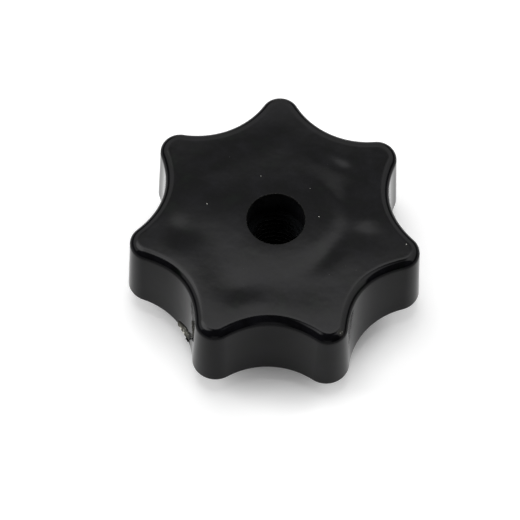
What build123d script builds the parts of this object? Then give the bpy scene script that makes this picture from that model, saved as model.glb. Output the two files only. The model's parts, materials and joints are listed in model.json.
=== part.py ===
from build123d import *

import os
from math import atan2, cos, degrees, pi, radians, sin, sqrt, tan

# Star knob nut: a seven-lobed moulded hand grip on a round hub, with a threaded steel bush moulded in.
#
# Sizes are in millimetres. The thread's axis is Z, and the hub's seat face lies in the plane Z = 0, so the
# origin is the middle of the seat. The grip is above the hub, and one lobe points along +Y.

# ---------------------------------------------------------------- thread and its stud
THREAD_SIZE = 10.0  # M10, the stud's outer diameter
THREAD_PITCH = 1.5  # coarse pitch
STUD_CLEARANCE = 0.25  # radial room for the stud in the plain bore above the bush

# ---------------------------------------------------------------- grip
LOBE_COUNT = 7
FIRST_LOBE_ANGLE = 90.0  # degrees from +X
GRIP_RADIUS = 27.0  # from the axis to a lobe's tip, at the grip's foot
LOBE_TIP_RADIUS = 4.2  # round end of a lobe
VALLEY_RADIUS = 13.8  # hollow between two lobes, where the fingers lie
GRIP_HEIGHT = 15.4
DRAFT_ANGLE = 2.6  # degrees, the taper by which the moulding leaves its tool
TOP_ROUND = 1.75  # rounding of the top face's edge
BORE_RIM_CHAMFER = 0.25

# ---------------------------------------------------------------- hub
HUB_RADIUS = 11.5  # at the seat face
HUB_HEIGHT = 4.6
HUB_ROOT_FLARE = 0.7  # cone that stiffens the corner between the hub and the grip
HUB_RIM_CHAMFER = 0.5

# ---------------------------------------------------------------- bush
BUSH_WALL = 2.4  # from the thread's root to the crests of the knurl
BUSH_LENGTH = 14.0
COLLAR_LENGTH = 1.5  # plain collar at the seat end
COLLAR_PROUD = 0.3  # how far the collar stands out past the knurl
GROOVE_DEPTH = 0.8  # below the knurl's feet, holds the bush against a pull
GROOVE_WIDTH = 2.6
KNURL_COUNT = 30  # teeth round each of the two knurled bands
KNURL_DEPTH = 0.6
SEAT_COUNTERSINK = 1.0  # leads the stud in
INNER_COUNTERSINK = 0.3

# ---------------------------------------------------------------- gate mark
GATE_WIDTH = 3.2  # stub left where the moulding was broken from its runner
GATE_HEIGHT = 1.9
GATE_PROUD = 0.3  # how far it stands out of the valley
GATE_VALLEY = 2  # the valley that holds it, counted on from the first lobe
GATE_TURN = -8.5  # degrees from the valley's middle, about the centre of its arc

# ---------------------------------------------------------------- sizes that follow
core_radius = (THREAD_SIZE - THREAD_PITCH) / 2
root_radius = THREAD_SIZE / 2
bore_radius = root_radius + STUD_CLEARANCE
knurl_radius = root_radius + BUSH_WALL
knurl_foot_radius = knurl_radius - KNURL_DEPTH
collar_radius = knurl_radius + COLLAR_PROUD
groove_radius = knurl_foot_radius - GROOVE_DEPTH
band_length = (BUSH_LENGTH - COLLAR_LENGTH - GROOVE_WIDTH) / 2
inner_band_z = BUSH_LENGTH - band_length
top_z = HUB_HEIGHT + GRIP_HEIGHT
hub_wall_height = HUB_HEIGHT - HUB_RIM_CHAMFER - HUB_ROOT_FLARE
hub_top_radius = HUB_RADIUS + hub_wall_height * tan(radians(DRAFT_ANGLE))
lobe_pitch = 360 / LOBE_COUNT
knurl_pitch = 360 / KNURL_COUNT

# The outline is a chain of arcs: each lobe's tip arc runs smoothly into the valley arcs beside it.
half_pitch = pi / LOBE_COUNT
tip_centre = GRIP_RADIUS - LOBE_TIP_RADIUS
centre_gap = LOBE_TIP_RADIUS + VALLEY_RADIUS
near = tip_centre * cos(half_pitch)
valley_centre = near + sqrt(near**2 - tip_centre**2 + centre_gap**2)
join_rise = valley_centre * sin(half_pitch)
join_run = valley_centre * cos(half_pitch) - tip_centre
join_angle = degrees(atan2(join_rise, join_run))


def polar(radius, angle, centre=(0, 0)):
    """The point at this radius and this angle in degrees about a centre."""
    return (centre[0] + radius * cos(radians(angle)), centre[1] + radius * sin(radians(angle)))


gate_valley_angle = FIRST_LOBE_ANGLE + (GATE_VALLEY + 0.5) * lobe_pitch
gate_angle = gate_valley_angle + 180 + GATE_TURN
gate_place = polar(VALLEY_RADIUS, gate_angle, polar(valley_centre, gate_valley_angle))

os.makedirs("parts", exist_ok=True)


# ---------------------------------------------------------------- bush, before its thread is cut
# A plain collar, then two bands of straight knurl with a turned groove between them.
with BuildPart() as bush_blank:
    with BuildSketch():
        Circle(collar_radius)
    extrude(amount=COLLAR_LENGTH)
    with BuildSketch(Plane.XY.offset(COLLAR_LENGTH)):
        Circle(groove_radius)
    extrude(amount=BUSH_LENGTH - COLLAR_LENGTH)
    with BuildSketch(Plane.XY.offset(COLLAR_LENGTH), Plane.XY.offset(inner_band_z)):
        with BuildLine():
            for tooth in range(KNURL_COUNT):
                tooth_angle = tooth * knurl_pitch
                Polyline(
                    polar(knurl_foot_radius, tooth_angle - knurl_pitch / 2),
                    polar(knurl_radius, tooth_angle),
                    polar(knurl_foot_radius, tooth_angle + knurl_pitch / 2),
                )
        make_face()
    extrude(amount=band_length)

# ---------------------------------------------------------------- threaded bush
with BuildPart() as threaded_insert:
    add(bush_blank.part)
    with BuildSketch():
        Circle(core_radius)
    extrude(amount=BUSH_LENGTH, mode=Mode.SUBTRACT)
    seat_edges = threaded_insert.edges().filter_by(GeomType.CIRCLE).group_by(Axis.Z)[0]
    chamfer(seat_edges.sort_by(SortBy.RADIUS)[0], SEAT_COUNTERSINK)
    inner_edges = threaded_insert.edges().filter_by(GeomType.CIRCLE).group_by(Axis.Z)[-1]
    chamfer(inner_edges, INNER_COUNTERSINK)
threaded_insert.part.label = "threaded_insert"
export_step(threaded_insert.part, "parts/threaded_insert.step")

# ---------------------------------------------------------------- grip and hub
with BuildPart() as knob_body:
    with BuildSketch(Plane.XY.offset(HUB_HEIGHT)):
        with BuildLine():
            for lobe in range(LOBE_COUNT):
                lobe_angle = FIRST_LOBE_ANGLE + lobe * lobe_pitch
                valley_angle = lobe_angle + lobe_pitch / 2
                valley_sweep = 2 * join_angle - lobe_pitch
                CenterArc(
                    polar(tip_centre, lobe_angle),
                    LOBE_TIP_RADIUS,
                    lobe_angle - join_angle,
                    2 * join_angle,
                )
                CenterArc(
                    polar(valley_centre, valley_angle),
                    VALLEY_RADIUS,
                    valley_angle + 180 - valley_sweep / 2,
                    valley_sweep,
                )
        make_face()
    extrude(amount=GRIP_HEIGHT, taper=DRAFT_ANGLE)
    fillet(knob_body.edges().group_by(Axis.Z)[-1], TOP_ROUND)

    # The hub widens towards the grip by the same draft, and a short cone stiffens the corner there.
    with BuildSketch(Plane.XZ):
        with BuildLine():
            Polyline(
                (0, 0),
                (HUB_RADIUS - HUB_RIM_CHAMFER, 0),
                (HUB_RADIUS, HUB_RIM_CHAMFER),
                (hub_top_radius, HUB_HEIGHT - HUB_ROOT_FLARE),
                (hub_top_radius + HUB_ROOT_FLARE, HUB_HEIGHT),
                (0, HUB_HEIGHT),
                close=True,
            )
        make_face()
    revolve(axis=Axis.Z)

    # The plain bore runs down to the bush, which the moulding grips on every side.
    with BuildSketch(Plane.XY.offset(BUSH_LENGTH)):
        Circle(bore_radius)
    extrude(amount=top_z - BUSH_LENGTH, mode=Mode.SUBTRACT)
    chamfer(knob_body.edges().filter_by(GeomType.CIRCLE).group_by(Axis.Z)[-1], BORE_RIM_CHAMFER)
    add(bush_blank.part, mode=Mode.SUBTRACT)

    # The gate's stub stands on the foot of one valley wall, square to the wall there.
    with Locations(Location((*gate_place, HUB_HEIGHT), (0, 0, gate_angle))):
        Box(2 * GATE_PROUD, GATE_WIDTH, GATE_HEIGHT, align=(Align.CENTER, Align.CENTER, Align.MIN))
knob_body.part.label = "knob_body"
export_step(knob_body.part, "parts/knob_body.step")
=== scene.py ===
"""Star knob nut: a seven-lobed phenolic hand grip on a blackened steel bush, with its studio."""

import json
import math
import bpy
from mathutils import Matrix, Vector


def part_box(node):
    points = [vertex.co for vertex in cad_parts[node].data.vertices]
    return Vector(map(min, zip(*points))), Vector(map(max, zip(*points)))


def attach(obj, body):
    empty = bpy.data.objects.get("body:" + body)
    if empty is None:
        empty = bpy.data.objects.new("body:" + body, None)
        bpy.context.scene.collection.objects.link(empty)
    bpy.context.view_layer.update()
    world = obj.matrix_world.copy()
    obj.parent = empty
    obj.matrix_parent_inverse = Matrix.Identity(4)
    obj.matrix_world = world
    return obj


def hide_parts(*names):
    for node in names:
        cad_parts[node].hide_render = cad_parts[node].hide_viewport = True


bl_info = {
    "name": "Star knob nut",
    "version": (1, 0, 0),
    "blender": (4, 5, 0),
    "location": "View3D > Sidebar > Star knob",
    "description": "Builds a moulded star knob nut round its packed frame, and the studio it stands in",
    "category": "Add Mesh",
}

import bpy
import numpy as np
from bpy.props import FloatProperty, FloatVectorProperty, IntProperty, PointerProperty
from mathutils import Matrix, Vector, noise

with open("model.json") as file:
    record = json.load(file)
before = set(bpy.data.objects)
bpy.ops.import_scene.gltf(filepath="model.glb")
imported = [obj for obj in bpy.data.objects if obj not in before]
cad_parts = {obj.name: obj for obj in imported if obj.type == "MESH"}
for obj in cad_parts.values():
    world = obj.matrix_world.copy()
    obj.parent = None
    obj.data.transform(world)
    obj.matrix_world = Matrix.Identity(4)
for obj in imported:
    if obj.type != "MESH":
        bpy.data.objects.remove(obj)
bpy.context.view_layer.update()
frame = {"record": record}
grip_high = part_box("knob_body")[1]
bush_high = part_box("threaded_insert")[1]
mounts = {m["name"]: m for m in frame["record"]["mounts"]}

MM = 0.001
TURN = 2 * math.pi

# Lobes are counted anticlockwise, from 0 at the one along +Y. The gate is in the valley after its lobe.
GATED_LOBE = 2
NICKED_LOBE = 4

# What this one moulding's top face has besides its even sink: direction in degrees, then in millimetres the
# radius, the rise, and how far its flank is from its middle outwards and round the axis.
HOLLOWS = {
    "right_hollow": (25, 12.5, -0.1, 2, 4.5),
    "back_right_dimple": (45, 15.5, -0.07, 1.3, 2.5),
    "left_rim_swell": (170, 5.5, 0.04, 2, 7.5),
    "left_swell": (168, 14.5, 0.15, 5, 6.5),
    "left_dimple": (190, 17.5, -0.06, 1.3, 1.8),
    "left_lobe_swell": (205, 18, 0.075, 2.7, 3.3),
    "front_left_dimple": (250, 16, -0.07, 2, 2.5),
    "front_swell": (257, 16.7, 0.07, 2, 2.5),
    "front_right_dimple": (300, 13.5, -0.04, 3.5, 5),
    "right_rim_swell": (355, 6.5, 0.075, 5.5, 7.5),
}
# Patches that lean to the front, in the same terms, with the rise from their middle to their back edge.
LEANS = {
    "crescent": (0, 11.5, 0.18, 1.3, 5),
    "back_right_patch": (46, 17, 0.035, 0.9, 1.5),
    "right_patch": (357, 16, 0.05, 1.6, 1.8),
}
# Flakes of dust on the top face that are large enough to place: X, Y and width in millimetres.
FLAKES = [(-3.0, 8.8, 0.2), (-12.4, 2.6, 0.26), (7.7, 0.8, 0.17), (5.9, 6.6, 0.14), (23.3, -4.1, 0.22)]
# Fine flakes scattered round the bore: their number, and their range of radii and of widths in millimetres.
FINE_FLAKES = 26
FINE_RADII = (6.5, 20)
FINE_WIDTHS = (0.04, 0.065)

# How finely the grip is cut: its outline in columns, and its skin from the bore to the hub in loops.
LOBE_COLUMNS = 26
NICKED_LOBE_COLUMNS = 56
VALLEY_COLUMNS = 46
GATE_COLUMNS = 48
BORE_LOOPS = 10
RIM_LOOPS = 6
FACE_LOOPS = 52
EDGE_LOOPS = 17
WALL_LOOPS = 20
GATE_LOOPS = 30
UNDERSIDE_LOOPS = 12
HUB_LOOPS = 4

# Brightness of the tent's cloth by degrees, as a share of its strength. Behind runs from the back horizon up
# over the knob to the front horizon, beside from the horizon to overhead.
TENT_STRENGTH = 10.0
BEHIND = {
    0: 0.1, 30: 0.3, 52: 0.5, 55: 0.45, 57.5: 0.2, 60.5: 0.28, 62: 0.46, 63.5: 0.77,
    66: 0.92, 71: 1.0, 75: 0.5, 78: 0.03, 90: 0.01, 148: 0.01, 162: 0.13, 180: 0.15,
}
BESIDE = {0: 0.02, 18: 0.03, 28: 0.38, 45: 0.48, 60: 0.6, 72: 0.55, 78: 0.1, 90: 0.01}

# A mix node's sockets for colours and for numbers, which share their names.
COLOUR_A, COLOUR_B, COLOUR_OUT = 6, 7, 2
NUMBER_A, NUMBER_B, NUMBER_OUT = 2, 3, 0


# ---------------------------------------------------------------- colours and nodes
def linear(hex_colour):
    """The linear RGBA of an sRGB colour written as #rrggbb."""
    parts = [int(hex_colour[i : i + 2], 16) / 255 for i in (1, 3, 5)]
    return [p / 12.92 if p <= 0.04045 else ((p + 0.055) / 1.055) ** 2.4 for p in parts] + [1.0]


WHITE = linear("#ffffff")


def add_node(tree, kind, settings=None, links=None):
    """Adds a node.

    Settings are attributes, input values by name or number, or a ramp's stops as (place, colour or grey).
    Links are source sockets by input.
    """
    node = tree.nodes.new(kind)
    for key, value in (settings or {}).items():
        if key == "stops":
            elements = node.color_ramp.elements
            while len(elements) < len(value):
                elements.new(1.0)
            for element, (place, tint) in zip(elements, value):
                element.position = place
                element.color = tint if hasattr(tint, "__len__") else (tint, tint, tint, 1)
        elif isinstance(key, str) and hasattr(node, key):
            setattr(node, key, value)
        else:
            node.inputs[key].default_value = value
    for key, source in (links or {}).items():
        tree.links.new(source, node.inputs[key])
    return node


def new_material(name):
    """An empty node material, with its tree and the place on the object that its patterns follow."""
    material = bpy.data.materials.new(name)
    material.use_nodes = True
    tree = material.node_tree
    tree.nodes.clear()
    return material, tree, add_node(tree, "ShaderNodeTexCoord").outputs["Object"]


def seen_directly(tree):
    """1 for camera, glossy and transmission rays, and 0 for the rays that light the knob."""
    path = add_node(tree, "ShaderNodeLightPath").outputs
    seen = path["Is Camera Ray"]
    for kind in ("Is Glossy Ray", "Is Transmission Ray"):
        either = add_node(tree, "ShaderNodeMath", {"operation": "MAXIMUM"}, {0: seen, 1: path[kind]})
        seen = either.outputs[0]
    return seen


# ---------------------------------------------------------------- materials
def phenolic(colours):
    """Black phenolic resin, compression moulded in a polished tool.

    The eye sees a deep black with a wet, slightly uneven gloss: a faint orange peel, slow waves where the
    charge flowed, and a bluish and greenish haze. Point attributes say where the skin differs: dull, off the
    plain pin that forms the bore; scar, broken and without gloss, and also set on the bore's glossless rim;
    painted shade within the scar, which darkens the break's slot, crack and hollow and the bore's rim to the
    moulding's black and half darkens the nick; and chip, in the scar, for pale filler.
    """
    material, tree, place = new_material("phenolic_compression_moulded")
    scar, pit, chip, dull = (
        add_node(tree, "ShaderNodeAttribute", {"attribute_name": name}).outputs["Fac"]
        for name in ("scar", "pit", "chip", "dull")
    )
    haze = add_node(
        tree,
        "ShaderNodeTexNoise",
        {"Scale": 1 / (5 * MM), "Detail": 6.0, "Roughness": 0.7},
        {"Vector": place},
    ).outputs["Fac"]
    skin = add_node(
        tree,
        "ShaderNodeValToRGB",
        {"stops": [(0.3, colours.moulding_bloom), (0.45, colours.moulding), (0.7, colours.moulding_haze)]},
        {0: haze},
    )

    # Filler grains in such a resin are near 0.1 mm, and are drawn at 0.45 mm so that they show.
    grains = add_node(tree, "ShaderNodeTexVoronoi", {"Scale": 1 / (0.45 * MM)}, {"Vector": place})
    broken = add_node(
        tree,
        "ShaderNodeValToRGB",
        {"stops": [(0.1, colours.scar_grain), (0.3, colours.scar)]},
        {0: grains.outputs["Distance"]},
    ).outputs["Color"]
    # Painted shade: the break's slot, crack and hollow, and the bore's rim, are darkened to the moulding's
    # black.
    for share, tint in ((chip, colours.scar_grain), (pit, colours.moulding)):
        broken = add_node(
            tree,
            "ShaderNodeMix",
            {"data_type": "RGBA", COLOUR_B: tint},
            {"Factor": share, COLOUR_A: broken},
        ).outputs[COLOUR_OUT]
    colour = add_node(
        tree,
        "ShaderNodeMix",
        {"data_type": "RGBA"},
        {"Factor": scar, COLOUR_A: skin.outputs["Color"], COLOUR_B: broken},
    )

    roughness = add_node(
        tree,
        "ShaderNodeMapRange",
        {"From Min": 0.3, "From Max": 0.7, "To Min": 0.04, "To Max": 0.09},
        {"Value": haze},
    ).outputs["Result"]
    for share, rough in ((dull, 0.55), (scar, 0.8)):
        roughness = add_node(
            tree,
            "ShaderNodeMix",
            {"data_type": "FLOAT", NUMBER_B: rough},
            {"Factor": share, NUMBER_A: roughness},
        ).outputs[NUMBER_OUT]
    gloss = add_node(tree, "ShaderNodeMapRange", {"To Min": 0.5, "To Max": 0.0}, {"Value": scar})

    flow = add_node(
        tree,
        "ShaderNodeTexNoise",
        {"Scale": 1 / (3.5 * MM), "Detail": 2.0, "Roughness": 0.5},
        {"Vector": place},
    )
    waves = add_node(tree, "ShaderNodeBump", {"Distance": 0.015 * MM}, {"Height": flow.outputs["Fac"]})
    peel = add_node(
        tree,
        "ShaderNodeTexNoise",
        {"Scale": 1 / (0.5 * MM), "Detail": 3.0, "Roughness": 0.5},
        {"Vector": place},
    )
    surface = add_node(
        tree,
        "ShaderNodeBump",
        {"Distance": 0.0012 * MM},
        {"Height": peel.outputs["Fac"], "Normal": waves.outputs["Normal"]},
    )
    # Phenolic's IOR is near 1.6. It is matched far lower, to the real knob's dark walls beside a white floor.
    shader = add_node(
        tree,
        "ShaderNodeBsdfPrincipled",
        {"IOR": 1.14},
        {
            "Base Color": colour.outputs[COLOUR_OUT],
            "Roughness": roughness,
            "Specular IOR Level": gloss.outputs[0],
            "Normal": surface.outputs["Normal"],
        },
    )
    add_node(tree, "ShaderNodeOutputMaterial", links={"Surface": shader.outputs[0]})
    return material


def blackened_steel(colours):
    """Free-cutting steel, turned and tapped, then blackened in a hot oxide bath.

    The eye sees a dull blue-black with fine turning rings and a soft, oily shine.
    """
    material, tree, place = new_material("blackened_steel_turned")
    patches = add_node(
        tree, "ShaderNodeTexNoise", {"Scale": 1 / (1.5 * MM), "Detail": 4.0}, {"Vector": place}
    ).outputs["Fac"]
    colour = add_node(
        tree, "ShaderNodeValToRGB", {"stops": [(0.3, colours.steel), (0.8, colours.steel_worn)]}, {0: patches}
    )
    roughness = add_node(
        tree,
        "ShaderNodeMapRange",
        {"From Min": 0.3, "From Max": 0.7, "To Min": 0.6, "To Max": 0.75},
        {"Value": patches},
    )
    # Turning rings on such a bush are near 0.1 mm apart, and are drawn 1.257 mm apart so that they show. A
    # wave texture's own rings are a twentieth of a turn apart.
    ring_gap = 1.257 * MM
    rings = add_node(
        tree,
        "ShaderNodeTexWave",
        {
            "wave_type": "RINGS",
            "rings_direction": "Z",
            "Scale": TURN / 20 / ring_gap,
            "Distortion": 0.3,
            "Detail": 2.0,
        },
        {"Vector": place},
    )
    surface = add_node(tree, "ShaderNodeBump", {"Distance": 0.002 * MM}, {"Height": rings.outputs["Fac"]})
    shader = add_node(
        tree,
        "ShaderNodeBsdfPrincipled",
        {"Metallic": 1.0},
        {
            "Base Color": colour.outputs["Color"],
            "Roughness": roughness.outputs["Result"],
            "Normal": surface.outputs["Normal"],
        },
    )
    add_node(tree, "ShaderNodeOutputMaterial", links={"Surface": shader.outputs[0]})
    return material


def lint(colours):
    """Pale house dust and lint: tiny matt flakes, light against the black moulding."""
    material, tree, place = new_material("dust_flakes")
    speckle = add_node(tree, "ShaderNodeTexNoise", {"Scale": 1 / (0.1 * MM)}, {"Vector": place})
    colour = add_node(
        tree,
        "ShaderNodeValToRGB",
        {"stops": [(0.3, colours.dust_dark), (0.7, colours.dust)]},
        {0: speckle.outputs["Fac"]},
    )
    shader = add_node(
        tree, "ShaderNodeBsdfPrincipled", {"Roughness": 0.9}, {"Base Color": colour.outputs["Color"]}
    )
    add_node(tree, "ShaderNodeOutputMaterial", links={"Surface": shader.outputs[0]})
    return material


def white_paper(sizes, colours):
    """White paper off the roll, matt and even, which shows as a white ground with the knob's soft shadow,
    cast by the lamps and deepened round the knob by a painted shadow.
    """
    material, tree, place = new_material("white_paper_sweep")
    paper = add_node(
        tree,
        "ShaderNodeBsdfPrincipled",
        {"Roughness": 0.9, "Base Color": colours.floor, "Specular IOR Level": 0.0},
    )
    # Painted shadow: the paper's glow fades out from just past the lobes' tips to a little outside the hub,
    # so the paper round and under the knob and down the bore is darker than the lamps alone make it.
    reach = add_node(tree, "ShaderNodeVectorMath", {"operation": "LENGTH"}, {0: place})
    painted_shadow_glow = add_node(
        tree,
        "ShaderNodeMapRange",
        {"From Min": sizes.hub_radius + 5 * MM, "From Max": sizes.grip_radius + 2 * MM, "To Max": 0.23},
        {"Value": reach.outputs["Value"]},
    )
    lift = add_node(
        tree,
        "ShaderNodeMath",
        {"operation": "MULTIPLY"},
        {0: seen_directly(tree), 1: painted_shadow_glow.outputs[0]},
    )
    glow = add_node(tree, "ShaderNodeEmission", {"Color": WHITE}, {"Strength": lift.outputs[0]})
    shader = add_node(tree, "ShaderNodeAddShader", links={0: paper.outputs[0], 1: glow.outputs[0]})
    add_node(tree, "ShaderNodeOutputMaterial", links={"Surface": shader.outputs[0]})
    return material


def tent_cloth():
    """Lit diffusion cloth, which only reflections see.

    Straight behind the knob a soft light panel hangs from 63 to 76 degrees up, over a dull gap in paler
    cloth. Both sides are pale from 25 to 76 degrees up, and a second panel hangs high on the left. The cloth
    overhead and in front is close to black, with a faint band at the front horizon.
    """
    material, tree, place = new_material("tent_cloth")
    direction = add_node(tree, "ShaderNodeVectorMath", {"operation": "NORMALIZE"}, {0: place}).outputs[0]
    parts = add_node(tree, "ShaderNodeSeparateXYZ", links={0: direction}).outputs

    # Two angles: from 0 at the back horizon over the top to 180 at the front, and from the horizon up.
    sweep = add_node(tree, "ShaderNodeMath", {"operation": "ARCTAN2"}, {0: parts["Z"], 1: parts["Y"]})
    climb = add_node(tree, "ShaderNodeMath", {"operation": "ARCSINE"}, {0: parts["Z"]})
    cloths = []
    for turn, far, stops in ((sweep, 180, BEHIND), (climb, 90, BESIDE)):
        share = add_node(
            tree, "ShaderNodeMapRange", {"From Max": math.radians(far)}, {"Value": turn.outputs[0]}
        )
        shares = [(degrees / far, value) for degrees, value in stops.items()]
        cloth = add_node(tree, "ShaderNodeValToRGB", {"stops": shares}, {0: share.outputs[0]})
        cloths.append(cloth.outputs["Color"])
    middle, flank = cloths

    # The side cloth ends a little in front of the knob, further back the higher it is.
    hem_at_horizon, hem_slope = 0.45, -0.36
    hem = add_node(
        tree,
        "ShaderNodeMath",
        {"operation": "MULTIPLY_ADD", 1: hem_slope, 2: hem_at_horizon},
        {0: parts["Z"]},
    )
    hem = add_node(tree, "ShaderNodeMath", {"operation": "ADD"}, {0: parts["Y"], 1: hem.outputs[0]})
    hung = add_node(
        tree,
        "ShaderNodeMapRange",
        {"From Min": -0.04, "From Max": 0.04, "To Min": 0.03, "To Max": 1.0},
        {"Value": hem.outputs[0]},
    )
    flank = add_node(tree, "ShaderNodeMath", {"operation": "MULTIPLY"}, {0: flank, 1: hung.outputs[0]})
    aside = add_node(tree, "ShaderNodeMath", {"operation": "ABSOLUTE"}, {0: parts["X"]})
    aside = add_node(
        tree, "ShaderNodeMapRange", {"From Min": 0.15, "From Max": 0.4}, {"Value": aside.outputs[0]}
    )
    cloth = add_node(
        tree,
        "ShaderNodeMix",
        {"data_type": "FLOAT"},
        {"Factor": aside.outputs[0], NUMBER_A: middle, NUMBER_B: flank.outputs[0]},
    )

    # The left panel hangs a little behind the knob, 64 degrees up. It fades out from 12 to 20 degrees off.
    left_panel = (-0.42, 0.12, 0.9)
    inner, outer = math.cos(math.radians(12)), math.cos(math.radians(20))
    toward = add_node(
        tree, "ShaderNodeVectorMath", {"operation": "DOT_PRODUCT", 1: left_panel}, {0: direction}
    )
    panel = add_node(
        tree,
        "ShaderNodeMapRange",
        {"From Min": outer, "From Max": inner, "To Max": 0.8},
        {"Value": toward.outputs["Value"]},
    )
    lit = add_node(
        tree, "ShaderNodeMath", {"operation": "ADD"}, {0: cloth.outputs[NUMBER_OUT], 1: panel.outputs[0]}
    )
    glow = add_node(
        tree, "ShaderNodeMath", {"operation": "MULTIPLY", 1: TENT_STRENGTH}, {0: lit.outputs[0]}
    )
    light = add_node(tree, "ShaderNodeEmission", {"Color": WHITE}, {"Strength": glow.outputs[0]})
    add_node(tree, "ShaderNodeOutputMaterial", links={"Surface": light.outputs[0]})
    return material


# ---------------------------------------------------------------- mesh helpers
def ease(value):
    """A smooth step from 0 at 0 to 1 at 1."""
    t = np.clip(value, 0, 1)
    return t * t * (3 - 2 * t)


def ray(angle):
    """Unit vectors in the plane at these angles in radians."""
    return np.stack([np.cos(angle), np.sin(angle)], -1)


def loop_at(flat, z):
    """A closed loop of points from plane points and a height."""
    heights = np.broadcast_to(np.asarray(z, float), flat.shape[:1])
    return np.concatenate([flat, heights[:, None]], 1)


def new_piece(name, vertices, faces, material, smooth=True):
    """A mesh object from points and faces, linked to the scene."""
    mesh = bpy.data.meshes.new(name)
    mesh.from_pydata(vertices, [], faces)
    mesh.polygons.foreach_set("use_smooth", [smooth] * len(mesh.polygons))
    mesh.materials.append(material)
    piece = bpy.data.objects.new(name, mesh)
    bpy.context.scene.collection.objects.link(piece)
    return piece


def band(start, sides):
    """The four-sided faces between a ring of points, the first of them at start, and the ring after it."""
    edges = [(start + k, start + (k + 1) % sides) for k in range(sides)]
    return [(a, b, b + sides, a + sides) for a, b in edges]


def skin_loops(name, loops, material):
    """Joins a stack of closed loops, and the last to the first, into one surface with no open edge."""
    rows, columns = loops.shape[:2]
    row, column = np.arange(rows)[:, None], np.arange(columns)[None, :]
    next_row, next_column = (row + 1) % rows, (column + 1) % columns
    corners = [row * columns + column, next_row * columns + column]
    corners += [next_row * columns + next_column, row * columns + next_column]
    faces = np.stack(corners, -1).reshape(-1, 4)
    piece = new_piece(name, loops.reshape(-1, 3).tolist(), faces.tolist(), material)
    piece.data.set_sharp_from_angle(angle=math.radians(35))
    return piece


# ---------------------------------------------------------------- sizes and colours a user may change
def length(name, text, millimetres):
    """A length property, with its default in millimetres."""
    return FloatProperty(
        name=name, description=text, default=millimetres * MM, unit="LENGTH", subtype="DISTANCE"
    )


def angle(name, text, degrees):
    """An angle property, with its default in degrees."""
    return FloatProperty(
        name=name, description=text, default=math.radians(degrees), unit="ROTATION", subtype="ANGLE"
    )


def power(name, text, watts):
    """A lamp power property."""
    return FloatProperty(name=name, description=text, default=watts, unit="POWER")


def colour(name, text, hex_colour):
    """A colour property, with its default as #rrggbb."""
    return FloatVectorProperty(
        name=name, description=text, default=linear(hex_colour), size=4, subtype="COLOR", min=0, max=1
    )


class KnobSizes(bpy.types.PropertyGroup):
    """Sizes of the knob as designed"""

    lobe_count: IntProperty(name="Lobes", description="Number of lobes round the grip", default=7)
    first_lobe: angle("First lobe", "Direction of the first lobe from +X", 90)
    grip_radius: length("Grip radius", "From the axis to a lobe's tip at the foot", grip_high.y / MM)
    tip_radius: length("Lobe tip radius", "Round end of a lobe", 4.2)
    valley_radius: length("Valley radius", "Hollow between two lobes", 13.8)
    foot_height: length("Foot height", "From the seat face up to the grip's foot", 4.6)
    top_height: length("Top height", "From the seat face up to the top face", grip_high.z / MM)
    draft: angle("Draft", "Taper of the moulding", 2.6)
    top_round: length("Top rounding", "Rounding of the top face's edge", 1.75)
    rim_round: length("Bore rim rounding", "Rounding of the bore's mouth", 0.05)
    hub_radius: length("Hub radius", "Hub at the seat face", 11.5)
    hub_flare: length("Hub flare", "Cone in the corner between hub and grip", 0.7)
    hub_chamfer: length("Hub chamfer", "Chamfer round the seat face", 0.5)
    bore_radius: length("Bore radius", "Plain bore above the bush", mounts["clearance_bore"]["dims"]["r_mm"])
    bush_height: length("Bush height", "Length of the bush", bush_high.z / MM)
    collar_radius: length("Collar radius", "Plain collar at the bush's seat end", bush_high.x / MM)
    collar_length: length("Collar length", "Length of that collar", 1.5)
    knurl_radius: length("Knurl radius", "Over the crests of the knurl", 7.4)
    knurl_depth: length("Knurl depth", "Depth of the knurl's teeth", 0.6)
    knurl_count: IntProperty(name="Knurl teeth", description="Teeth round the bush", default=30)
    groove_radius: length("Groove radius", "Floor of the retaining groove", 6.0)
    groove_width: length("Groove width", "Width of the retaining groove", 2.6)
    core_radius: length("Thread core radius", "Crests of the thread", mounts["thread"]["dims"]["r_mm"])
    thread_radius: length("Thread radius", "Roots of the internal thread", 5.0)
    thread_pitch: length("Thread pitch", "M10 coarse", 1.5)
    seat_countersink: length("Seat countersink", "Leads the stud in", 1.0)
    inner_countersink: length("Inner countersink", "At the bush's inner end", 0.3)


class KnobMarks(bpy.types.PropertyGroup):
    """What moulding and use have left on this one knob"""

    dome_drop: length("Dome", "How far the top face falls away to the lobes' tips", 0.27)
    sink_depth: length("Sink depth", "How far the top face has sunk over the thick ring round the bush", 0.04)
    sink_radius: length("Sink radius", "Where that ring is deepest", 13.7)
    sink_width: length("Sink width", "From that ring's deepest line to its flank", 2.8)
    sink_lean: length("Sink lean", "Extra depth of that ring on the -X side", 0.05)
    dimple_depth: length("Dimple depth", "Extra sink at each lobe's root", 0.021)
    dimple_radius: length("Dimple radius", "From the axis to the dimples", 16.5)
    dimple_width: length("Dimple width", "From a dimple's middle to its flank", 2.1)
    valley_lean: FloatVectorProperty(
        name="Valley lean",
        description="Extra inset of each valley at the top, anticlockwise from the one after the +Y lobe",
        default=[v * MM for v in (0, 0.2, 0.5, 0.25, 0.5, 0.2, 0)],
        size=7,
        unit="LENGTH",
    )
    nick_turn: angle("Nick turn", "Nick in a lobe's top edge, from that lobe's direction", 3)
    nick_radius: length("Nick radius", "From the axis to the nick", 25.3)
    nick_size: length("Nick size", "Half the nick's width", 0.4)
    gate_turn: angle("Gate turn", "Gate mark from its valley's middle, about the valley arc's centre", -9.3)
    gate_width: length("Gate width", "Along the wall", 3.9)
    gate_height: length("Gate height", "Up the wall", 2.9)
    gate_proud: length("Gate proud", "How far the broken stub stands out", 0.3)


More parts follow.
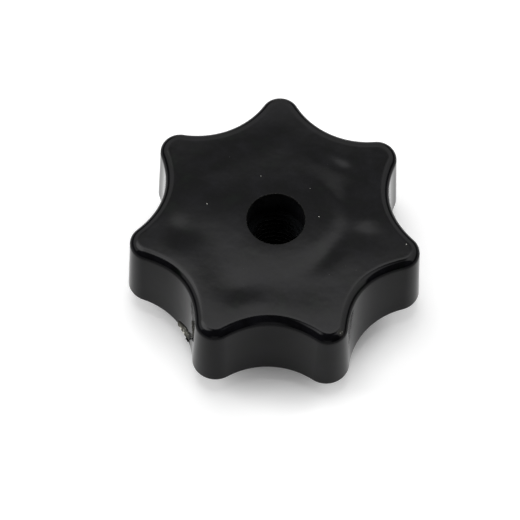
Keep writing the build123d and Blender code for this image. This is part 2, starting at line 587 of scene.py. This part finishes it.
class KnobColours(bpy.types.PropertyGroup):
    """Colours of the knob and its floor"""

    moulding: colour("Moulding", "Black phenolic skin", "#060607")
    moulding_haze: colour("Moulding haze", "Bluish flow patches in the skin", "#0e0e11")
    moulding_bloom: colour("Moulding bloom", "Greenish flow patches in the skin", "#0b0f0c")
    scar: colour("Break", "Broken resin at the gate", "#5d5c56")
    scar_grain: colour("Break grain", "Filler grains in the break", "#efede4")
    steel: colour("Steel", "Blackened steel", "#090a0b")
    steel_worn: colour("Steel worn", "Steel where the oxide is thin", "#111213")
    dust: colour("Dust", "Pale flakes", "#c9c8c2")
    dust_dark: colour("Dust shade", "Darker flakes", "#8d8c86")
    floor: colour("Floor", "White paper sweep", "#fdfdfd")


class StudioSettings(bpy.types.PropertyGroup):
    """Where the camera and the lamps stand"""

    azimuth: angle("Azimuth", "Camera round the knob, 0 looks along +Y", 0.62)
    elevation: angle("Elevation", "Camera above the horizon", 60.56)
    distance: length("Distance", "From the camera to the grip's foot", 535.3)
    roll: angle("Roll", "Camera's tilt about its own line of sight", 1.6)
    aim_right: angle("Aim right", "Knob right of the picture's middle", 0.287)
    aim_down: angle("Aim down", "Knob below the picture's middle", 0.0248)
    lens: FloatProperty(name="Lens", description="Focal length in millimetres", default=202.84, unit="CAMERA")
    tent_radius: length("Tent radius", "From the knob to the cloth round it", 1600)
    lamp_distance: length("Lamp distance", "Every lamp from the knob", 1000)
    key_turn: angle("Key direction", "Overhead key light, round from +X", 114.7)
    key_elevation: angle("Key elevation", "Key light above the horizon", 79.7)
    key_size: length("Key size", "Across the round key light", 528)
    key_power: power("Key power", "Radiant power of the key light", 3.05)
    right_turn: angle("Right lamp direction", "Low lamp behind on the right, round from +X", 40.3)
    right_elevation: angle("Right lamp elevation", "Above the horizon", 26.9)
    right_size: length("Right lamp size", "Across the round lamp", 396)
    right_power: power("Right lamp power", "Radiant power of that lamp", 4.04)
    left_turn: angle("Left lamp direction", "Low lamp on the left, round from +X", 176.1)
    left_elevation: angle("Left lamp elevation", "Above the horizon", 32.8)
    left_size: length("Left lamp size", "Across the round lamp", 566)
    left_power: power("Left lamp power", "Radiant power of that lamp", 4.21)
    air: FloatProperty(name="Air", description="Light that comes evenly from all round", default=0.43)


# ---------------------------------------------------------------- the moulded grip
def star_columns(sizes, marks):
    """The grip's foot outline, column by column.

    Gives plane points, their outward directions, their run along the wall from the gate's middle, and how far
    they lean in at the top. Columns outside the gate's valley are given a run far from the gate.
    """
    far_off = 1.0
    pitch = TURN / sizes.lobe_count
    tip_centre = sizes.grip_radius - sizes.tip_radius
    gap = sizes.tip_radius + sizes.valley_radius
    near = tip_centre * math.cos(pitch / 2)
    valley_centre = near + math.sqrt(near**2 - tip_centre**2 + gap**2)
    join = math.atan2(valley_centre * math.sin(pitch / 2), valley_centre * math.cos(pitch / 2) - tip_centre)
    half_sweep = join - pitch / 2
    points, outward, run, lean = [], [], [], []
    for lobe in range(sizes.lobe_count):
        lobe_angle = sizes.first_lobe + lobe * pitch
        columns = NICKED_LOBE_COLUMNS if lobe == NICKED_LOBE else LOBE_COLUMNS
        turns = lobe_angle + np.linspace(-join, join, columns, endpoint=False)
        points.append(tip_centre * ray(np.array([lobe_angle])) + sizes.tip_radius * ray(turns))
        outward.append(ray(turns))
        run.append(np.full(len(turns), far_off))
        lean.append(np.zeros(len(turns)))

        valley_angle = lobe_angle + pitch / 2
        across = np.linspace(half_sweep, -half_sweep, VALLEY_COLUMNS, endpoint=False)
        if lobe == GATED_LOBE:
            # Fine columns replace the plain ones over one and a half times the gate's width.
            reach = 0.75 * marks.gate_width / sizes.valley_radius
            fine = marks.gate_turn + np.linspace(reach, -reach, GATE_COLUMNS)
            across = np.concatenate([across[np.abs(across - marks.gate_turn) > 1.04 * reach], fine])
            across = np.sort(across)[::-1]
            run.append((across - marks.gate_turn) * sizes.valley_radius)
        else:
            run.append(np.full(len(across), far_off))
        turns = valley_angle + math.pi + across
        points.append(valley_centre * ray(np.array([valley_angle])) + sizes.valley_radius * ray(turns))
        outward.append(-ray(turns))
        lean.append(marks.valley_lean[lobe] * np.cos(across / half_sweep * math.pi / 2) ** 2)
    return np.concatenate(points), np.concatenate(outward), np.concatenate(run), np.concatenate(lean)[:, None]


def bell(flat, turn, radius, width, arc):
    """A soft bump of height 1 at a direction and radius, this wide outwards and this long round the axis."""
    out = (np.hypot(flat[..., 0], flat[..., 1]) - radius) / width
    away = np.arctan2(flat[..., 1], flat[..., 0]) - turn
    along = radius * ((away + math.pi) % TURN - math.pi) / arc
    return np.exp(-(out**2 + along**2) / 2)


def relief(flat, sizes, marks):
    """Height of the top face over its tool's plane: it domes, and sinks where the moulding is thick."""
    radius = np.hypot(flat[..., 0], flat[..., 1])
    ring = np.exp(-(((radius - marks.sink_radius) / marks.sink_width) ** 2) / 2)
    height = -marks.dome_drop * (radius / sizes.grip_radius) ** 2
    height -= (marks.sink_depth - marks.sink_lean * flat[..., 0] / marks.sink_radius) * ring
    for lobe in range(sizes.lobe_count):
        turn = sizes.first_lobe + lobe * TURN / sizes.lobe_count
        width = marks.dimple_width
        height -= marks.dimple_depth * bell(flat, turn, marks.dimple_radius, width, width)
    for degrees, out, rise, width, arc in HOLLOWS.values():
        height += rise * MM * bell(flat, math.radians(degrees), out * MM, width * MM, arc * MM)
    for degrees, out, rise, width, arc in LEANS.values():
        back = (flat[..., 1] - out * MM * math.sin(math.radians(degrees))) / (arc * MM)
        height += rise * MM * back * bell(flat, math.radians(degrees), out * MM, width * MM, arc * MM)
    return height


def gate_break(run, z, sizes, marks):
    """The broken gate stub: how far it stands out of the wall, where it is broken, where painted shade
    darkens its slot, crack and hollow, and where it is pale.
    """
    along, up = run / MM, (z - sizes.foot_height) / MM
    half, tall = marks.gate_width / 2 / MM, marks.gate_height / MM

    def spot(place, width, rise, reach):
        """1 at this many millimetres along and up the wall, fading over this width and reach."""
        return np.exp(-(((along - place) / width) ** 2) - ((up - rise) / reach) ** 2)

    # The stub tore along a crease, a third of its height up at one end and as high as it is at the other.
    low_end, high_end = 0.33, 1.0
    crease = tall * (low_end + (high_end - low_end) * (half - along) / (2 * half))
    end_fade, top_fade = 0.3, 0.2
    within = ease((half + end_fade - np.abs(along)) / end_fade)
    stub = within * ease((crease - up) / top_fade)
    # A slot follows the crease, sunk and darkened with painted shade, but not to its high end, where a hollow
    # lies low in the stub, drawn as painted shade alone. A crack, also painted shade alone, parts two pale
    # chips near its middle.
    slot_width, slot_start, slot_fade = 0.35, -0.8 * half, 0.4
    slot = within * np.exp(-(((up - crease) / slot_width) ** 2)) * ease((along - slot_start) / slot_fade)
    hollow_shade = np.minimum(2 * spot(-0.85 * half, width=0.8, rise=0.4, reach=0.75), 1)
    crack_place, crack_width, crack_top, crack_fade = 0.4, 0.22, 1.2, 0.4
    crack_shade = np.exp(-(((along - crack_place) / crack_width) ** 2)) * ease((crack_top - up) / crack_fade)
    chips = sum(spot(place, width=0.25, rise=0.3, reach=0.3) for place in (0.85, -0.1))
    # Lumps to the millimetre, and which slice of the noise they come from.
    lumps, grit_slice = 2.2, 3.1
    increment, lacunarity, octaves = 1.0, 2.0, 4
    places = [Vector((r * lumps, up * lumps, grit_slice)) for r in along]
    grit = np.array([noise.fractal(place, increment, lacunarity, octaves) for place in places])
    stub_height, slot_depth = 0.8, 0.6
    proud = marks.gate_proud * (stub_height * stub * (1 - slot) * (1 + grit) - slot_depth * slot)
    # Painted shade in the slot, the hollow and the crack.
    dark = np.maximum(np.maximum(slot, hollow_shade), crack_shade)
    return proud, {"scar": np.maximum(stub, dark), "pit": dark, "chip": np.minimum(chips, 1) * within}


def build_grip(sizes, marks, colours):
    """The grip and hub as one closed skin: down the bore, over the top, down the walls and round the hub."""
    outline, outward, run, lean = star_columns(sizes, marks)
    spin = ray(np.arctan2(outline[:, 1], outline[:, 0]))
    slope = math.tan(sizes.draft)
    top, foot = sizes.top_height, sizes.foot_height
    loops = []
    marked = {"scar": [], "pit": [], "chip": [], "dull": []}

    def lay(points, **marks_here):
        """Adds a loop, with its share of each kind of mark."""
        loops.append(points)
        for name, values in marked.items():
            values.append(np.broadcast_to(marks_here.get(name, 0.0), len(points)))

    def ring(radius, z, **marks_here):
        """Adds a round loop, with points in the outline's directions."""
        lay(loop_at(spin * radius, z), **marks_here)

    round_centre_z = top - sizes.top_round
    centre_inset = (round_centre_z - foot) * slope + sizes.top_round / math.cos(sizes.draft)
    edge = outline - (centre_inset + lean) * outward
    mouth = spin * (sizes.bore_radius + sizes.rim_round)
    # A second loop hard by the mouth keeps the rim's rounding from shading the face.
    shares = np.insert(np.linspace(0, 1, FACE_LOOPS), 1, 0.002)
    face = [mouth + (edge - mouth) * share for share in shares]
    heights = relief(np.array(face), sizes, marks)
    heights -= heights.max()

    # The bore, and its rim, which has no gloss and is drawn as a black line of painted shade.
    for z in np.linspace(sizes.bush_height, top - 4 * sizes.rim_round, BORE_LOOPS):
        ring(sizes.bore_radius, z, dull=1.0)
    for a in np.linspace(0, math.pi / 2, RIM_LOOPS)[:-1]:
        rim_z = top - sizes.rim_round * (1 - math.sin(a)) + heights[0]
        ring(sizes.bore_radius + sizes.rim_round * (1 - math.cos(a)), rim_z, scar=1.0, pit=1.0)
    # The top face and its rounded edge, where a nick bares some broken resin, half darkened with painted
    # shade.
    for flat, height in zip(face[:-1], heights):
        lay(loop_at(flat, top + height))
    nick_turn = sizes.first_lobe + NICKED_LOBE * TURN / sizes.lobe_count + marks.nick_turn
    nick = marks.nick_radius * ray(np.array(nick_turn))
    nick_depth = 0.3 * marks.nick_size
    for a in np.linspace(0, math.pi / 2 - sizes.draft, EDGE_LOOPS):
        inset = centre_inset - sizes.top_round * math.sin(a)
        flat = outline - (inset + lean) * outward
        dent = np.exp(-((np.hypot(*(flat - nick).T) / marks.nick_size) ** 2))
        z = round_centre_z + (sizes.top_round + heights[-1]) * math.cos(a)
        lay(loop_at(flat - nick_depth * dent[:, None] * outward, z), scar=0.7 * dent, pit=0.55)

    # The walls, in finer levels at the gate, and the eased edge at their foot.
    wall_top = loops[-1][:, 2].min()
    fine_top = foot + marks.gate_height + 0.8 * MM
    plain_levels = np.linspace(wall_top, fine_top, WALL_LOOPS)[1:]
    fine_levels = np.linspace(fine_top, foot + 0.12 * MM, GATE_LOOPS)[1:]
    for z in np.concatenate([plain_levels, fine_levels]):
        proud, broken = gate_break(run, z, sizes, marks)
        up = z - foot
        inset = up * slope - proud[:, None] + lean * up / (round_centre_z - foot)
        lay(loop_at(outline - inset * outward, z), **broken)
    for inset, rise in ((0.04 * MM, 0.03 * MM), (0.13 * MM, 0)):
        lay(loop_at(outline - inset * outward, foot + rise))

    # The underside, and the hub with its flare above and its chamfer below, both with eased edges.
    flare, chamfer = sizes.hub_flare, sizes.hub_chamfer
    hub_top = sizes.hub_radius + (foot - chamfer - flare) * slope
    inner = spin * (hub_top + flare)
    for share in np.linspace(0, 1, UNDERSIDE_LOOPS)[1:]:
        lay(loop_at(outline * (1 - share) + inner * share, foot))
    ring(hub_top + 0.3 * flare, foot - 0.7 * flare)
    ring(hub_top, foot - 1.15 * flare)
    for z in np.linspace(foot - 1.4 * flare, 1.15 * chamfer, HUB_LOOPS):
        ring(sizes.hub_radius + (z - chamfer) * slope, z)
    for inset, rise in ((0.12, 0.85), (0.85, 0.12), (1.15, 0)):
        ring(sizes.hub_radius - inset * chamfer, rise * chamfer)

    # The pocket that holds the bush, a few hundredths of a millimetre clear of it.
    collar_pocket, shoulder = sizes.collar_radius + 0.015 * MM, sizes.collar_length + 0.02 * MM
    knurl_pocket, pocket_end = sizes.knurl_radius + 0.02 * MM, sizes.bush_height + 0.01 * MM
    seat_break = 0.045 * MM
    ring(collar_pocket + seat_break, 0)
    ring(collar_pocket, 0.04 * MM)
    ring(collar_pocket, shoulder)
    ring(knurl_pocket, shoulder)
    ring(knurl_pocket, pocket_end)
    grip = skin_loops("moulded_grip", np.array(loops), phenolic(colours))
    for name, values in marked.items():
        layer = grip.data.attributes.new(name, "FLOAT", "POINT")
        layer.data.foreach_set("value", np.concatenate(values).astype(np.float32))
    return grip


# ---------------------------------------------------------------- the threaded bush
def thread_wall(z, turn, sizes):
    """Radius of a right-hand 60 degree internal thread with flat crests and roots."""
    pitch = sizes.thread_pitch
    along = ((z / pitch - turn / TURN) % 1.0) * pitch
    depth = sizes.thread_radius - sizes.core_radius
    flank = depth * math.tan(math.radians(30))
    crest = pitch / 4
    if crest + 2 * flank >= pitch:
        raise ValueError("the thread is too deep for its pitch")
    rise = (along - crest) / flank
    fall = (pitch - along) / flank
    return sizes.core_radius + depth * np.clip(np.minimum(rise, fall), 0, 1)


def build_bush(sizes, colours):
    """The bush as one closed skin: up the thread, out over the inner end, down the knurl to the collar."""
    columns = 4 * sizes.knurl_count
    turn = np.arange(columns) / columns * TURN
    spin = ray(turn)
    tooth = np.abs(((turn / TURN * sizes.knurl_count) % 1.0) - 0.5) * 2
    knurl = sizes.knurl_radius - sizes.knurl_depth * (1 - tooth)
    top = sizes.bush_height
    groove_low = (top + sizes.collar_length - sizes.groove_width) / 2
    groove_high = groove_low + sizes.groove_width
    inner_break, seat_break, mouth_land = 0.15 * MM, 0.1 * MM, 0.25 * MM
    loops = []

    def ring(radius, z):
        """Adds a loop of this radius, or of these radii column by column."""
        loops.append(loop_at(spin * np.broadcast_to(radius, turn.shape)[:, None], z))

    rows_per_pitch = 22
    rows = round(top / sizes.thread_pitch * rows_per_pitch)
    for z in np.linspace(0, top, rows + 1):
        radius = thread_wall(z, turn, sizes)
        radius = np.maximum(radius, sizes.core_radius + sizes.seat_countersink - z)
        radius = np.maximum(radius, sizes.core_radius + sizes.inner_countersink - (top - z))
        ring(radius, z)
    ring(sizes.thread_radius + mouth_land, top)
    ring(knurl - inner_break, top)
    ring(knurl, top - inner_break)
    ring(knurl, groove_high)
    ring(sizes.groove_radius, groove_high)
    ring(sizes.groove_radius, groove_low)
    ring(knurl, groove_low)
    ring(knurl, sizes.collar_length)
    ring(sizes.collar_radius, sizes.collar_length)
    ring(sizes.collar_radius, seat_break)
    ring(sizes.collar_radius - seat_break, 0)
    return skin_loops("threaded_bush", np.array(loops), blackened_steel(colours))


# ---------------------------------------------------------------- dust
def build_dust(sizes, marks, colours):
    """Pale flakes lying on the top face: a few large ones, and fine ones scattered round the bore."""
    draw = np.random.default_rng(11)
    outs = draw.uniform(*FINE_RADII, FINE_FLAKES)
    turns = draw.uniform(0, TURN, FINE_FLAKES)
    widths = draw.uniform(*FINE_WIDTHS, FINE_FLAKES)
    flakes = list(FLAKES)
    for out, turn, width in zip(outs, turns, widths):
        flakes.append((out * math.cos(turn), out * math.sin(turn), width))
    # The face's highest point lies at the top height, as on the grip.
    rings, spokes = 60, 180
    radii = np.linspace(sizes.bore_radius, sizes.grip_radius, rings)[:, None, None]
    peak = relief(radii * ray(np.linspace(0, TURN, spokes)), sizes, marks).max()
    sides = 9
    # A flake's foot, shoulder and crown: height and width as shares of the whole.
    tiers = ((0.0, 1.0), (0.7, 0.85), (1.0, 0.4))
    vertices, faces = [], []
    for x, y, width in flakes:
        start = len(vertices)
        rest = sizes.top_height + relief(np.array([x * MM, y * MM]), sizes, marks) - peak
        for level, share in tiers:
            # It is a fifth as high as it is wide, sits a little into the face and stays under the top height.
            z = min(rest + (0.2 * width * level - 0.01) * MM, sizes.top_height - 0.001 * MM)
            for k in range(sides):
                reach = width / 2 * share * draw.uniform(0.7, 1.15)
                px, py = x + reach * math.cos(TURN * k / sides), y + reach * math.sin(TURN * k / sides)
                vertices.append((px * MM, py * MM, z))
        crown = start + (len(tiers) - 1) * sides
        for low in range(start, crown, sides):
            faces.extend(band(low, sides))
        faces.append(tuple(start + k for k in reversed(range(sides))))
        faces.append(tuple(crown + k for k in range(sides)))
    return new_piece("dust_flakes", vertices, faces, lint(colours), smooth=False)


# ---------------------------------------------------------------- the studio
def upward(turn, tilt):
    """The direction this far round from +X and this far up."""
    return Vector((math.cos(turn) * math.cos(tilt), math.sin(turn) * math.cos(tilt), math.sin(tilt)))


def build_floor(sizes, colours, sides=64):
    """A round sheet of white paper, wide enough to fill every view."""
    floor_radius = 4.0
    rim = [floor_radius * upward(TURN * k / sides, 0) for k in range(sides)]
    floor = new_piece("studio_floor", rim, [tuple(range(sides))], white_paper(sizes, colours))


def build_tent(settings, sides=64, bands=32):
    """A dome of lit cloth from just under the horizon to overhead, seen by reflections alone."""
    lowest = -0.05
    tilts = [lowest + (math.pi / 2 - lowest) * step / bands for step in range(bands + 1)]
    vertices = [settings.tent_radius * upward(TURN * k / sides, tilt) for tilt in tilts for k in range(sides)]
    faces = [face for low in range(0, bands * sides, sides) for face in band(low, sides)]
    tent = new_piece("studio_tent", vertices, faces, tent_cloth())
    tent.visible_camera = tent.visible_diffuse = tent.visible_shadow = False
    tent.visible_volume_scatter = tent.visible_transmission = False


def hang_lamps(settings):
    """Three soft round lamps that light the knob and its floor, and aren't seen themselves."""
    for name in ("key", "right", "left"):
        lamp = bpy.data.lights.new(name + "_lamp", "AREA")
        lamp.shape = "DISK"
        lamp.size = getattr(settings, name + "_size")
        lamp.energy = getattr(settings, name + "_power")
        holder = bpy.data.objects.new(name + "_lamp", lamp)
        bpy.context.scene.collection.objects.link(holder)
        toward = upward(getattr(settings, name + "_turn"), getattr(settings, name + "_elevation"))
        holder.location = toward * settings.lamp_distance
        holder.rotation_mode = "QUATERNION"
        holder.rotation_quaternion = toward.to_track_quat("Z", "Y")
        holder.visible_camera = holder.visible_glossy = False


def fill_air(settings):
    """An even white light from all round, which shows as plain white where it is seen."""
    world = bpy.data.worlds.new("studio_air")
    world.use_nodes = True
    tree = world.node_tree
    tree.nodes.clear()
    strength = add_node(
        tree,
        "ShaderNodeMapRange",
        {"To Min": settings.air, "To Max": 1.0},
        {"Value": seen_directly(tree)},
    )
    air = add_node(
        tree, "ShaderNodeBackground", {"Color": WHITE}, {"Strength": strength.outputs[0]}
    )
    add_node(tree, "ShaderNodeOutputWorld", links={"Surface": air.outputs[0]})
    bpy.context.scene.world = world


def set_camera(settings, sizes):
    """A long lens that looks down on the knob with everything sharp, and the Standard view."""
    lens = bpy.data.cameras.new("studio_camera")
    lens.sensor_width = 36.0
    lens.lens = settings.lens
    lens.clip_start, lens.clip_end = 0.01, 20.0
    camera = bpy.data.objects.new("studio_camera", lens)
    bpy.context.scene.collection.objects.link(camera)
    bpy.context.scene.camera = camera
    back = upward(settings.azimuth - math.pi / 2, settings.elevation)
    turn = (-back).to_track_quat("-Z", "Y").to_matrix()
    turn = turn @ Matrix.Rotation(settings.roll, 3, "Z")
    turn = turn @ Matrix.Rotation(settings.aim_right, 3, "Y") @ Matrix.Rotation(settings.aim_down, 3, "X")
    target = Vector((0, 0, sizes.foot_height))
    camera.matrix_world = Matrix.Translation(target + back * settings.distance) @ turn.to_4x4()
    bpy.context.scene.view_settings.view_transform = "Standard"


# ---------------------------------------------------------------- operators
class KNOB_OT_grip(bpy.types.Operator):
    """Build the moulded grip with its hub"""

    bl_idname = "knob.grip"
    bl_label = "Moulded grip"

    def execute(self, context):
        scene = context.scene
        piece = build_grip(scene.knob_sizes, scene.knob_marks, scene.knob_colours)
        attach(piece, "root")
        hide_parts("knob_body")
        return {"FINISHED"}


class KNOB_OT_bush(bpy.types.Operator):
    """Build the threaded bush"""

    bl_idname = "knob.bush"
    bl_label = "Threaded bush"

    def execute(self, context):
        scene = context.scene
        piece = build_bush(scene.knob_sizes, scene.knob_colours)
        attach(piece, "root")
        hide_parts("threaded_insert")
        return {"FINISHED"}


class KNOB_OT_dust(bpy.types.Operator):
    """Lay flakes of dust on the top face"""

    bl_idname = "knob.dust"
    bl_label = "Dust flakes"

    def execute(self, context):
        scene = context.scene
        piece = build_dust(scene.knob_sizes, scene.knob_marks, scene.knob_colours)
        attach(piece, "root")
        return {"FINISHED"}


class KNOB_OT_studio(bpy.types.Operator):
    """Set up the floor, tent, lamps and camera"""

    bl_idname = "knob.studio"
    bl_label = "Studio"

    def execute(self, context):
        scene = context.scene
        build_floor(scene.knob_sizes, scene.knob_colours)
        build_tent(scene.knob_studio)
        hang_lamps(scene.knob_studio)
        fill_air(scene.knob_studio)
        set_camera(scene.knob_studio, scene.knob_sizes)
        return {"FINISHED"}


class KNOB_PT_panel(bpy.types.Panel):
    """Lists the knob's pieces and sizes"""

    bl_label = "Star knob nut"
    bl_idname = "KNOB_PT_panel"
    bl_space_type = "VIEW_3D"
    bl_region_type = "UI"
    bl_category = "Star knob"

    def draw(self, context):
        for operator in OPERATORS:
            self.layout.operator(operator.bl_idname)
        for group in GROUPS:
            settings = getattr(context.scene, group)
            for key in settings.bl_rna.properties.keys():
                if key not in {"rna_type", "name"}:
                    self.layout.prop(settings, key)


GROUPS = {
    "knob_sizes": KnobSizes,
    "knob_marks": KnobMarks,
    "knob_colours": KnobColours,
    "knob_studio": StudioSettings,
}
OPERATORS = [KNOB_OT_grip, KNOB_OT_bush, KNOB_OT_dust, KNOB_OT_studio]


def register():
    """Registers the property groups on the scene, the operators and the panel."""
    for group, kind in GROUPS.items():
        bpy.utils.register_class(kind)
        setattr(bpy.types.Scene, group, PointerProperty(type=kind))
    for kind in [*OPERATORS, KNOB_PT_panel]:
        bpy.utils.register_class(kind)


def unregister():
    """Takes off what register put on."""
    for kind in reversed([*OPERATORS, KNOB_PT_panel]):
        bpy.utils.unregister_class(kind)
    for group, kind in GROUPS.items():
        delattr(bpy.types.Scene, group)
        bpy.utils.unregister_class(kind)


def main():
    """Builds every piece and the studio."""
    register()
    bpy.ops.knob.grip()
    bpy.ops.knob.bush()
    bpy.ops.knob.dust()
    bpy.ops.knob.studio()


if __name__ == "__main__":
    main()
